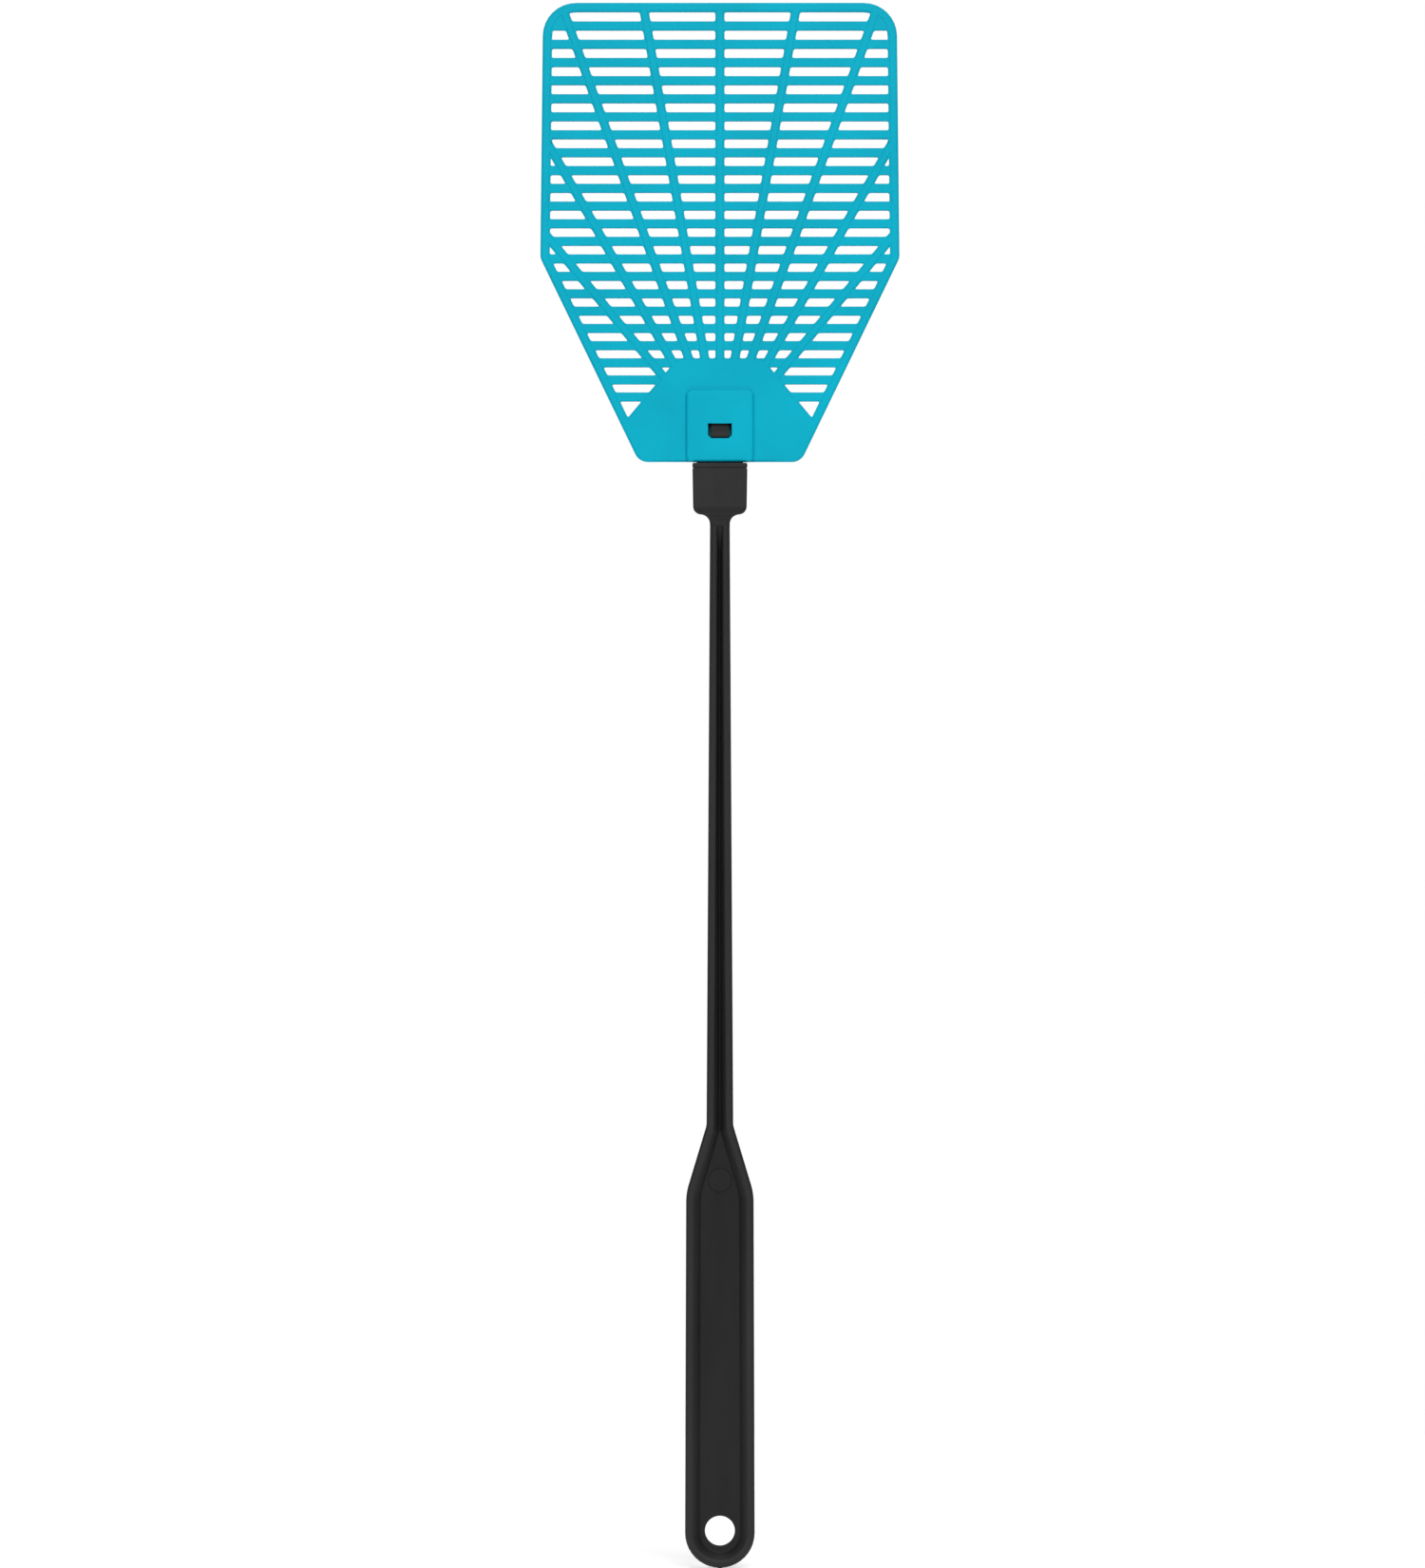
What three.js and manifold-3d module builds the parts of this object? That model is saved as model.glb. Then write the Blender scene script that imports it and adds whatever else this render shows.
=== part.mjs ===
// Fly swatter: a soft perforated head whose moulded pocket snaps onto the tongue of a stiff handle.
// Millimetres. +Z runs up the length, from the grip's end to the head's tip, X is the width, and
// the front faces -Y. The origin is where the hand holds the grip. Heights named here count from
// the grip's end for the handle, and from the head's bottom edge for the head.
import * as THREE from 'three';
import { mergeVertices } from 'three/addons/utils/BufferGeometryUtils.js';
import Module from 'manifold-3d';

const wasm = await Module();
wasm.setup();

// ---- driving dimensions ----
const GAP = 0.3; // clearance between pieces that move against each other
const HAND_HOLD_HEIGHT = 56; // middle of the held length, and the part's origin

// Grip, neck and shaft: one bar with a web between two raised rims
const GRIP_LENGTH = 106.4; // end to shoulder
const GRIP_END_WIDTH = 19.9;
const GRIP_SHOULDER_WIDTH = 19.2;
const NECK_LENGTH = 19.2; // shoulder to shaft
const SHAFT_LENGTH = 174.2; // neck to collar
const SHAFT_BOTTOM_WIDTH = 7.6;
const SHAFT_TOP_WIDTH = 5.6;
const BAR_DEPTH = 6; // front to back at the grip
const SHAFT_TOP_DEPTH = 5;
const WEB_THICKNESS = 1.8;
const RIM_BAND = 2; // flat top of the raised rim
const GRIP_RIM_SLOPE = 2.2; // width of the rim's inner slope on the grip
const SHAFT_RIM_SLOPE = 0.5;
const GROOVE_RUNOUT = 5; // ramp where the groove ends below the collar
const SHOULDER_REACH = 6; // how far the shoulder's rounding runs to each side
const HANGING_HOLE_DIAMETER = 8.5;
const HANGING_HOLE_HEIGHT = 10.4;
const PIN_PAD_DIAMETER = 6.5;
const PIN_PAD_HEIGHT = 110.1;
const PIN_PAD_RISE = 0.3; // above the web

// Collar, bead and tongue
const COLLAR_TOP_WIDTH = 15.6;
const COLLAR_BOTTOM_WIDTH = 15.2;
const COLLAR_DEPTH = 6.2;
const COLLAR_LENGTH = 12.7;
const COLLAR_CORNER = 2.2;
const COLLAR_FLARE = 2.3; // height and width of the hollow curve from shaft to collar
const BEAD_GROOVE = 0.4; // height and depth of the line under the bead
const BEAD_HEIGHT = 1.2;
const TONGUE_LENGTH = 17.5;
const TONGUE_WIDTH = 13.2;
const TONGUE_THICKNESS = 2;
const TONGUE_TIP_CHAMFER = 1.2;

// Snap catch: a finger in the tongue's cut-out, with a wedge at its free, lower end
const CATCH_HEIGHT_ON_TONGUE = 7.3; // catch face above the bead
const CATCH_WIDTH = 5.2;
const CATCH_RAMP_LENGTH = 3.6;
const CATCH_BELOW_PAD_FACE = 0.2; // how far the wedge's nose stays inside the window
const FINGER_LENGTH = 8;
const FINGER_THICKNESS = 0.9;
const FINGER_SLOT = 0.6; // slot along each side of the finger, and below it

// Head
const HEAD_LENGTH = 130.6;
const HEAD_WIDTH = 102.2; // at the widest corners
const HEAD_TOP_WIDTH = 100.6; // measured at the sharp corners, before rounding
const HEAD_BOTTOM_WIDTH = 46;
const WIDEST_HEIGHT = 58;
const HEAD_THICKNESS = 2;
const TOP_CORNER = 9.5;
const SIDE_CORNER = 4;
const BOTTOM_CORNER = 4;
const RIM_WIDTH = 2.65;
const SLAT_WIDTH = 2.6;
const RIB_WIDTH = 2.6;
const ROWS = 23;
const ROW_EASE = 1.037; // top row's pitch over the mean pitch
const LAST_ROW_HEIGHT = 17.2; // upper edge of the lowest windows
const FLEX_ROW = 20; // the flap bends along the lower edge of this row, counted from the top
const RIB_PAIRS = 4; // on each side of the centre rib
const RIB_STEP = 9.9; // degrees between ribs
const RIB_FOCUS_HEIGHT = 4.8; // the ribs fan out from here
const THROAT_HALF_TOP = 12; // half the throat plate's top edge
const THROAT_SLOPE = 50; // degrees, fall of the throat plate's shoulders
const POCKET_SIDE_WALL = 2.7;
const POCKET_END_WALL = 3;
const POCKET_FACE_WALL = 1;
const PAD_CORNER = 1.4;
const WINDOW_SIDE_CLEARANCE = 0.8;
const WINDOW_CHAMFER = 0.7;
const SMALLEST_WINDOW = 1.2; // square mm; smaller corners are left solid

// ---- derived sizes ----
const SHAFT_START = GRIP_LENGTH + NECK_LENGTH;
const COLLAR_START = SHAFT_START + SHAFT_LENGTH;
const BEAD_START = COLLAR_START + COLLAR_LENGTH + BEAD_GROOVE;
const TONGUE_START = BEAD_START + BEAD_HEIGHT;
const CATCH_FACE_HEIGHT = TONGUE_START + CATCH_HEIGHT_ON_TONGUE;
const HEAD_START = TONGUE_START + GAP;
const POCKET_WIDTH = TONGUE_WIDTH + 2 * GAP;
const POCKET_THICKNESS = TONGUE_THICKNESS + 2 * GAP;
const POCKET_DEPTH = TONGUE_LENGTH; // the gap below the head equals the gap above the tongue
const PAD_WIDTH = POCKET_WIDTH + 2 * POCKET_SIDE_WALL;
const PAD_HEIGHT = POCKET_DEPTH + POCKET_END_WALL;
const PAD_THICKNESS = POCKET_THICKNESS + 2 * POCKET_FACE_WALL;
const WINDOW_BOTTOM = CATCH_FACE_HEIGHT - GAP - HEAD_START;
const WINDOW_TOP = WINDOW_BOTTOM + CATCH_RAMP_LENGTH + 2 * GAP;
const LARGE = 1000; // reaches past the whole part

// ---- solids ----
const toRadians = THREE.MathUtils.degToRad;

function solid(geometry) {
  const bare = new THREE.BufferGeometry();
  const flat = geometry.index ? geometry.toNonIndexed() : geometry;
  bare.setAttribute('position', flat.getAttribute('position').clone());
  const merged = mergeVertices(bare, 1e-4);
  return new wasm.Manifold(
    new wasm.Mesh({
      numProp: 3,
      vertProperties: merged.getAttribute('position').array,
      triVerts: new Uint32Array(merged.index.array),
    }),
  );
}

function geometryOf(made) {
  const { vertProperties, triVerts } = made.getMesh();
  const geometry = new THREE.BufferGeometry();
  geometry.setAttribute('position', new THREE.BufferAttribute(vertProperties, 3));
  geometry.setIndex(new THREE.BufferAttribute(triVerts, 1));
  geometry.computeVertexNormals();
  return geometry;
}

// A front-view outline or several, drawn with x across and y up, as a slab between two depths.
function slab(shape, front, back, curveSegments = 6) {
  const depth = back - front;
  const geometry = new THREE.ExtrudeGeometry(shape, { depth, bevelEnabled: false, curveSegments });
  geometry.rotateX(Math.PI / 2);
  geometry.translate(0, back, 0);
  return solid(geometry);
}

function centredSlab(shape, thickness, curveSegments) {
  return slab(shape, -thickness / 2, thickness / 2, curveSegments);
}

function box(width, depth, bottom, top) {
  const geometry = new THREE.BoxGeometry(width, depth, top - bottom);
  geometry.translate(0, 0, (bottom + top) / 2);
  return solid(geometry);
}

// The same closed outline at several depths, joined by straight walls, front loop first.
function stackedLoops(loops) {
  const count = loops[0].points.length;
  const positions = loops.flatMap(({ points, y }) => points.flatMap((p) => [p.x, y, p.y]));
  const faces = THREE.ShapeUtils.triangulateShape(loops[0].points, []);
  const last = (loops.length - 1) * count;
  const index = [];
  for (const [a, b, c] of faces) {
    index.push(a, b, c);
    index.push(last + c, last + b, last + a);
  }
  for (let ring = 0; ring < last; ring += count) {
    for (let i = 0; i < count; i += 1) {
      const next = (i + 1) % count;
      index.push(ring + next, ring + i, ring + count + i);
      index.push(ring + next, ring + count + i, ring + count + next);
    }
  }
  const geometry = new THREE.BufferGeometry();
  geometry.setAttribute('position', new THREE.Float32BufferAttribute(positions, 3));
  geometry.setIndex(index);
  return solid(geometry);
}

const mirrorPoint = (p) => new THREE.Vector2(-p.x, p.y);

// A right-hand half outline, bottom to top, made whole by its mirror image.
function mirrored(half) {
  return [...half, ...half.map(mirrorPoint).reverse()];
}

function bendThrough(before, corner, after) {
  return new THREE.QuadraticBezierCurve(before, corner, after).getPoints(4);
}

// ---- handle ----
// Half the bar's outline up to a height, drawn in by a rim width: inset(height) gives it.
function barHalf(inset, top) {
  const endRadius = GRIP_END_WIDTH / 2;
  const halfAt = (height) => {
    const [low, high, from, to] =
      height <= GRIP_LENGTH
        ? [endRadius, GRIP_LENGTH, GRIP_END_WIDTH, GRIP_SHOULDER_WIDTH]
        : height <= SHAFT_START
          ? [GRIP_LENGTH, SHAFT_START, GRIP_SHOULDER_WIDTH, SHAFT_BOTTOM_WIDTH]
          : [SHAFT_START, COLLAR_START, SHAFT_BOTTOM_WIDTH, SHAFT_TOP_WIDTH];
    return THREE.MathUtils.mapLinear(height, low, high, from, to) / 2 - inset(height);
  };
  const at = (height) => new THREE.Vector2(halfAt(height), height);
  const radius = endRadius - inset(0);
  const quarter = new THREE.EllipseCurve(0, endRadius, radius, radius, -Math.PI / 2, 0);
  const shoulder = bendThrough(
    at(GRIP_LENGTH - SHOULDER_REACH),
    at(GRIP_LENGTH),
    at(GRIP_LENGTH + SHOULDER_REACH),
  );
  return [...quarter.getPoints(10).slice(1), ...shoulder, at(SHAFT_START), at(top)];
}

function barOutline(inset, top) {
  const lowest = new THREE.Vector2(0, inset(0));
  return [lowest, ...mirrored(barHalf(inset, top))];
}

function rimSlope(height) {
  const along = THREE.MathUtils.clamp((height - GRIP_LENGTH) / NECK_LENGTH, 0, 1);
  return THREE.MathUtils.lerp(GRIP_RIM_SLOPE, SHAFT_RIM_SLOPE, along);
}

// The hollow in front of the web, from the grip's end up into the shaft's groove.
function recess(side) {
  const surface = barOutline(() => RIM_BAND, COLLAR_START - COLLAR_FLARE);
  const floor = barOutline(
    (height) => RIM_BAND + rimSlope(height),
    COLLAR_START - COLLAR_FLARE - GROOVE_RUNOUT,
  );
  const loops = [
    { points: surface, y: -BAR_DEPTH },
    { points: surface, y: -BAR_DEPTH / 2 },
    { points: floor, y: -WEB_THICKNESS / 2 },
  ];
  const front = stackedLoops(loops);
  return side < 0 ? front : front.mirror([0, 1, 0]);
}

// What is planed off one face of the shaft, so that it gets thinner towards the collar.
function shaftTaper(side) {
  const planed = (BAR_DEPTH - SHAFT_TOP_DEPTH) / 2;
  const profile = new THREE.Shape();
  profile.moveTo(-BAR_DEPTH / 2, SHAFT_START);
  profile.lineTo(-BAR_DEPTH / 2 + planed, COLLAR_START);
  profile.lineTo(-BAR_DEPTH, COLLAR_START);
  profile.lineTo(-BAR_DEPTH, SHAFT_START);
  const geometry = new THREE.ExtrudeGeometry(profile, { depth: HEAD_WIDTH, bevelEnabled: false });
  geometry.rotateX(Math.PI / 2);
  geometry.rotateZ(Math.PI / 2);
  geometry.translate(-HEAD_WIDTH / 2, 0, 0);
  const front = solid(geometry);
  return side < 0 ? front : front.mirror([0, 1, 0]);
}

function hangingHole() {
  const radius = HANGING_HOLE_DIAMETER / 2;
  const geometry = new THREE.CylinderGeometry(radius, radius, 2 * BAR_DEPTH, 32);
  geometry.translate(0, 0, HANGING_HOLE_HEIGHT);
  return solid(geometry);
}

// Round pad left by the mould on the web, front side only.
function pinPad() {
  const radius = PIN_PAD_DIAMETER / 2;
  const depth = PIN_PAD_RISE + WEB_THICKNESS / 2;
  const geometry = new THREE.CylinderGeometry(radius, radius, depth, 24);
  geometry.translate(0, -depth / 2, PIN_PAD_HEIGHT);
  return solid(geometry);
}

function bar() {
  const outline = new THREE.Shape(barOutline(() => 0, COLLAR_START));
  return centredSlab(outline, BAR_DEPTH)
    .subtract(recess(-1))
    .subtract(recess(1))
    .subtract(shaftTaper(-1))
    .subtract(shaftTaper(1))
    .subtract(hangingHole())
    .add(pinPad());
}

function collar() {
  const shaftHalf = SHAFT_TOP_WIDTH / 2;
  const bottomHalf = COLLAR_BOTTOM_WIDTH / 2;
  const flareStart = COLLAR_START - COLLAR_FLARE;
  const top = COLLAR_START + COLLAR_LENGTH;
  const shape = new THREE.Shape();
  shape.moveTo(shaftHalf, flareStart);
  shape.quadraticCurveTo(shaftHalf, COLLAR_START, shaftHalf + COLLAR_FLARE, COLLAR_START);
  shape.lineTo(bottomHalf - COLLAR_CORNER, COLLAR_START);
  shape.quadraticCurveTo(bottomHalf, COLLAR_START, bottomHalf, COLLAR_START + COLLAR_CORNER);
  shape.lineTo(COLLAR_TOP_WIDTH / 2, top);
  const half = shape.getPoints(5);
  return centredSlab(new THREE.Shape(mirrored(half)), COLLAR_DEPTH);
}

function bead() {
  const neckWidth = COLLAR_TOP_WIDTH - 2 * BEAD_GROOVE;
  const neckDepth = COLLAR_DEPTH - 2 * BEAD_GROOVE;
  const neckStart = BEAD_START - 2 * BEAD_GROOVE; // reaches down into the collar
  const neckEnd = BEAD_START + BEAD_HEIGHT / 2;
  const neck = box(neckWidth, neckDepth, neckStart, neckEnd);
  return box(COLLAR_TOP_WIDTH, COLLAR_DEPTH, BEAD_START, TONGUE_START).add(neck);
}

function tongue() {
  const half = TONGUE_WIDTH / 2;
  const top = TONGUE_START + TONGUE_LENGTH;
  const points = [
    new THREE.Vector2(half, BEAD_START),
    new THREE.Vector2(half, top - TONGUE_TIP_CHAMFER),
    new THREE.Vector2(half - TONGUE_TIP_CHAMFER, top),
  ];
  const cutWidth = CATCH_WIDTH + 2 * FINGER_SLOT;
  const cutBottom = CATCH_FACE_HEIGHT - FINGER_SLOT;
  const cutTop = CATCH_FACE_HEIGHT + FINGER_LENGTH + GAP;
  return centredSlab(new THREE.Shape(mirrored(points)), TONGUE_THICKNESS)
    .subtract(box(cutWidth, BAR_DEPTH, cutBottom, cutTop));
}

function handle() {
  return bar().add(collar()).add(bead()).add(tongue());
}

// Side profile of the finger and its wedge, drawn at the middle of the tongue.
function latchCatch() {
  const face = -TONGUE_THICKNESS / 2;
  const nose = -PAD_THICKNESS / 2 + CATCH_BELOW_PAD_FACE;
  const noseLand = CATCH_RAMP_LENGTH / 4;
  const profile = new THREE.Shape();
  profile.moveTo(face + FINGER_THICKNESS, 0);
  profile.lineTo(face + FINGER_THICKNESS, FINGER_LENGTH);
  profile.lineTo(face, FINGER_LENGTH);
  profile.lineTo(face, CATCH_RAMP_LENGTH);
  profile.lineTo(nose, noseLand);
  profile.lineTo(nose, 0);
  const geometry = new THREE.ExtrudeGeometry(profile, { depth: CATCH_WIDTH, bevelEnabled: false });
  geometry.rotateX(Math.PI / 2);
  geometry.rotateZ(Math.PI / 2);
  geometry.translate(-CATCH_WIDTH / 2, 0, 0);
  return solid(geometry);
}

// ---- head ----
// A convex outline with its corners rounded: each corner is [x, height, radius].
function roundedOutline(corners) {
  const shape = new THREE.Shape();
  corners.forEach(([x, height, radius], i) => {
    const corner = new THREE.Vector2(x, height);
    const [beforeX, beforeHeight] = corners.at(i - 1);
    const [afterX, afterHeight] = corners[(i + 1) % corners.length];
    const before = new THREE.Vector2(beforeX, beforeHeight).sub(corner).normalize();
    const after = new THREE.Vector2(afterX, afterHeight).sub(corner).normalize();
    const reach = radius / Math.tan(before.angleTo(after) / 2);
    const start = corner.clone().addScaledVector(before, reach);
    const end = corner.clone().addScaledVector(after, reach);
    if (i === 0) {
      shape.moveTo(start.x, start.y);
    } else {
      shape.lineTo(start.x, start.y);
    }
    shape.quadraticCurveTo(corner.x, corner.y, end.x, end.y);
  });
  shape.closePath();
  return shape;
}

function headOutline() {
  const right = [
    [HEAD_BOTTOM_WIDTH / 2, 0, BOTTOM_CORNER],
    [HEAD_WIDTH / 2, WIDEST_HEIGHT, SIDE_CORNER],
    [HEAD_TOP_WIDTH / 2, HEAD_LENGTH, TOP_CORNER],
  ];
  const left = right.map(([x, height, radius]) => [-x, height, radius]).reverse();
  return roundedOutline([...right, ...left]);
}

// A line that keeps what lies on its left, seen from `from` to `to`, moved to the left by `inset`.
function border(from, to, inset) {
  const along = to.clone().sub(from).normalize();
  const left = new THREE.Vector2(-along.y, along.x);
  return { left, offset: left.dot(from) + inset };
}

// Keeps the part of a convex polygon that lies on a border's left.
function clip(polygon, { left, offset }) {
  const kept = [];
  polygon.forEach((p, i) => {
    const q = polygon[(i + 1) % polygon.length];
    const a = left.dot(p) - offset;
    const b = left.dot(q) - offset;
    if (a >= 0) {
      kept.push(p);
    }
    if (a * b < 0) {
      kept.push(p.clone().lerp(q, a / (a - b)));
    }
  });
  return kept;
}

// The right-hand borders of the windows: rim sides, and the chords of the rim's top corner.
function rimBorders() {
  const bottom = new THREE.Vector2(HEAD_BOTTOM_WIDTH / 2, 0);
  const widest = new THREE.Vector2(HEAD_WIDTH / 2, WIDEST_HEIGHT);
  const top = new THREE.Vector2(HEAD_TOP_WIDTH / 2, HEAD_LENGTH);
  const centre = new THREE.Vector2(top.x - TOP_CORNER, top.y - TOP_CORNER);
  const chords = [22.5, 45, 67.5].map((degrees) => {
    const out = new THREE.Vector2(1, 0).rotateAround(new THREE.Vector2(), toRadians(degrees));
    const onArc = centre.clone().addScaledVector(out, TOP_CORNER);
    const ahead = onArc.clone().add(new THREE.Vector2(-out.y, out.x));
    return border(onArc, ahead, RIM_WIDTH);
  });
  return [border(bottom, widest, RIM_WIDTH), border(widest, top, RIM_WIDTH), ...chords];
}

function ribLine(k) {
  const angle = toRadians(90 - k * RIB_STEP);
  const foot = new THREE.Vector2(0, RIB_FOCUS_HEIGHT);
  const tip = foot.clone().add(new THREE.Vector2(Math.cos(angle), Math.sin(angle)));
  return { foot, tip };
}

// Upper and lower edge of each row of windows, top row first.
function windowRows() {
  const top = HEAD_LENGTH - RIM_WIDTH;
  const meanPitch = (top - LAST_ROW_HEIGHT) / (ROWS - 1);
  const rows = [];
  let upper = top;
  for (let i = 0; i < ROWS; i += 1) {
    const ease = THREE.MathUtils.mapLinear(i, 0, ROWS - 2, ROW_EASE, 2 - ROW_EASE);
    const pitch = meanPitch * ease;
    const lower = i === ROWS - 1 ? 0 : upper - pitch + SLAT_WIDTH;
    rows.push({ upper, lower });
    upper -= pitch;
  }
  return rows;
}

const rows = windowRows();
const FLEX_EDGE = rows[FLEX_ROW - 1].lower; // straight lower edge of the flex row
const FLEX_AXIS = FLEX_EDGE + GAP + HEAD_THICKNESS / 2;

// The windows of one row to the right of the centre rib.
function windowsInRow({ upper, lower }, rim) {
  const strip = [
    new THREE.Vector2(0, lower),
    new THREE.Vector2(HEAD_WIDTH, lower),
    new THREE.Vector2(HEAD_WIDTH, upper),
    new THREE.Vector2(0, upper),
  ];
  const throatCorner = new THREE.Vector2(THROAT_HALF_TOP, FLEX_EDGE);
  const fall = new THREE.Vector2(Math.cos(toRadians(THROAT_SLOPE)), -Math.sin(toRadians(THROAT_SLOPE)));
  const shoulder = border(throatCorner, throatCorner.clone().add(fall), 0);
  const found = [];
  for (let k = 0; k <= RIB_PAIRS; k += 1) {
    const inner = ribLine(k);
    let cell = clip(strip, border(inner.tip, inner.foot, RIB_WIDTH / 2));
    if (k < RIB_PAIRS) {
      const outer = ribLine(k + 1);
      cell = clip(cell, border(outer.foot, outer.tip, RIB_WIDTH / 2));
    }
    if (lower < FLEX_EDGE) {
      cell = clip(cell, shoulder);
    }
    cell = rim.reduce(clip, cell);
    found.push(cell);
  }
  return found;
}

function isWindow(cell) {
  return cell.length > 2 && Math.abs(THREE.ShapeUtils.area(cell)) > SMALLEST_WINDOW;
}

function latticePlate() {
  const rim = rimBorders();
  const right = rows.flatMap((row) => windowsInRow(row, rim)).filter(isWindow);
  const left = right.map((cell) => cell.map(mirrorPoint).reverse());
  const windows = [...right, ...left].map((cell) => new THREE.Shape(cell));
  const plate = centredSlab(headOutline(), HEAD_THICKNESS, 4);
  return plate.subtract(centredSlab(windows, 2 * HEAD_THICKNESS));
}

const plate = latticePlate();

// The flap above the bend. The feet of its ribs and rim are half-round, about the bend's axis.
function headLattice() {
  const radius = HEAD_THICKNESS / 2;
  const feet = new THREE.CylinderGeometry(radius, radius, HEAD_WIDTH, 16);
  feet.rotateZ(Math.PI / 2);
  feet.rotateX(Math.PI / 16);
  feet.translate(0, 0, FLEX_AXIS);
  const kept = box(2 * HEAD_WIDTH, LARGE, FLEX_AXIS, 2 * HEAD_LENGTH).add(solid(feet));
  return plate.intersect(kept);
}

// A rounded rectangle standing on a height, as wide as given.
function roundedRectangle(width, bottom, top, lowerRadius, upperRadius) {
  const half = width / 2;
  return roundedOutline([
    [half, bottom, lowerRadius],
    [half, top, upperRadius],
    [-half, top, upperRadius],
    [-half, bottom, lowerRadius],
  ]);
}

function latchWindow() {
  const half = CATCH_WIDTH / 2 + WINDOW_SIDE_CLEARANCE;
  const points = [
    new THREE.Vector2(half - WINDOW_CHAMFER, WINDOW_BOTTOM),
    new THREE.Vector2(half, WINDOW_BOTTOM + WINDOW_CHAMFER),
    new THREE.Vector2(half, WINDOW_TOP),
  ];
  return slab(new THREE.Shape(mirrored(points)), -PAD_THICKNESS, 0);
}

// Throat plate with the pocket that the tongue fills.
function headThroat() {
  const pad = roundedRectangle(PAD_WIDTH, 0, PAD_HEIGHT, PAD_CORNER, PAD_CORNER);
  return plate
    .intersect(box(2 * HEAD_WIDTH, LARGE, -HEAD_LENGTH, FLEX_EDGE))
    .add(centredSlab(pad, PAD_THICKNESS, 4))
    .subtract(box(POCKET_WIDTH, POCKET_THICKNESS, -HEAD_LENGTH, POCKET_DEPTH))
    .subtract(latchWindow());
}

// ---- assembly ----
const headPlastic = { color: 0x00accd, roughness: 0.45, metalness: 0 };
const handlePlastic = { color: 0x2d2d2d, roughness: 0.5, metalness: 0 };

function piece(name, made, finish) {
  const mesh = new THREE.Mesh(geometryOf(made), new THREE.MeshStandardMaterial(finish));
  mesh.name = name;
  return mesh;
}

const latch = piece('latch_catch', latchCatch(), handlePlastic);
latch.position.z = CATCH_FACE_HEIGHT;

const handleMoulding = new THREE.Group();
handleMoulding.add(piece('handle', handle(), handlePlastic), latch);

const headMoulding = new THREE.Group();
headMoulding.add(piece('head_throat', headThroat(), headPlastic));
headMoulding.add(piece('head_lattice', headLattice(), headPlastic));
headMoulding.position.z = HEAD_START;

const swatter = new THREE.Group();
swatter.add(handleMoulding, headMoulding);
swatter.position.z = -HAND_HOLD_HEIGHT;

export default swatter;
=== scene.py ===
import math

import bmesh
import bpy
from bpy.props import FloatProperty, FloatVectorProperty, IntProperty, PointerProperty
from mathutils import Matrix, Vector


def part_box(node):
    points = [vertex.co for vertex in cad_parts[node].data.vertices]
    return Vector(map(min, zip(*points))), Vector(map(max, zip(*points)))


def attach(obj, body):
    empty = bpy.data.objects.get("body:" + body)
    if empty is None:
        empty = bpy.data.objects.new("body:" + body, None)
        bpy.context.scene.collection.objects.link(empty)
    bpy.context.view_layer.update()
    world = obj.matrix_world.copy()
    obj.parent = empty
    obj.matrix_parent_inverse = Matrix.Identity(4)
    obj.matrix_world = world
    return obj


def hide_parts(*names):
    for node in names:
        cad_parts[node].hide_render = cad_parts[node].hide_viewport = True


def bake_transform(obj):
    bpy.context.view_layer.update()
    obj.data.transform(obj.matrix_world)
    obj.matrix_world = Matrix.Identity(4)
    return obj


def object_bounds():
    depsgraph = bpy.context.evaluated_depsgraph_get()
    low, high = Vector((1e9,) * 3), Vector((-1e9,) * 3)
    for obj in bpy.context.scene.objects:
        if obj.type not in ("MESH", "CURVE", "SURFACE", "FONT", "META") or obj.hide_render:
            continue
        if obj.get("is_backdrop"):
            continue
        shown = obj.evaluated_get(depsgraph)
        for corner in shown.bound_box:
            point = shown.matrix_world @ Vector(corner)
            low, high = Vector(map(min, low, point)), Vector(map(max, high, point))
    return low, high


bl_info = {
    "name": "Fly Swatter Maker",
    "version": (1, 0, 0),
    "blender": (4, 5, 0),
    "location": "3D View > Sidebar > Swatter",
    "description": "Models a fly swatter's soft head, stiff handle and snap catch around its frame",
    "category": "Add Mesh",
}

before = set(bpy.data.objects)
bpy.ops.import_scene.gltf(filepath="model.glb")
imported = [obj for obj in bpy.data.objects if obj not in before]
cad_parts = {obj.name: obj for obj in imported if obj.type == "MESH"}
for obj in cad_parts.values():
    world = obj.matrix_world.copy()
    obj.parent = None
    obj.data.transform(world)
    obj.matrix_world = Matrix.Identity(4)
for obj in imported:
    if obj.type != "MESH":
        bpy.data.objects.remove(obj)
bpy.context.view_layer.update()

MM = 0.001
TINY = 1e-6  # how near two places must be to count as one
SMALL_ROUND = 0.2 * MM
FINE_ROUND = 0.12 * MM

HANDLE_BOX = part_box("handle")
THROAT_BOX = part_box("head_throat")
LATTICE_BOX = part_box("head_lattice")
LATCH_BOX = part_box("latch_catch")

HEAD_START = THROAT_BOX[0].z
HEAD_LENGTH = LATTICE_BOX[1].z - HEAD_START
HEAD_WIDTH = LATTICE_BOX[1].x - LATTICE_BOX[0].x
THROAT_TOP = THROAT_BOX[1].z - HEAD_START
PAD_DEPTH = THROAT_BOX[1].y - THROAT_BOX[0].y
GRIP_END = HANDLE_BOX[0].z
TONGUE_TIP = HANDLE_BOX[1].z - GRIP_END
COLLAR_DEPTH = HANDLE_BOX[1].y - HANDLE_BOX[0].y


# ---- properties ----
def length(name, description, default):
    return FloatProperty(
        name=name,
        description=description,
        default=default,
        min=0.0,
        unit="LENGTH",
        precision=5,
    )


def angle(name, description, degrees):
    return FloatProperty(
        name=name, description=description, default=math.radians(degrees), subtype="ANGLE"
    )


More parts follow.
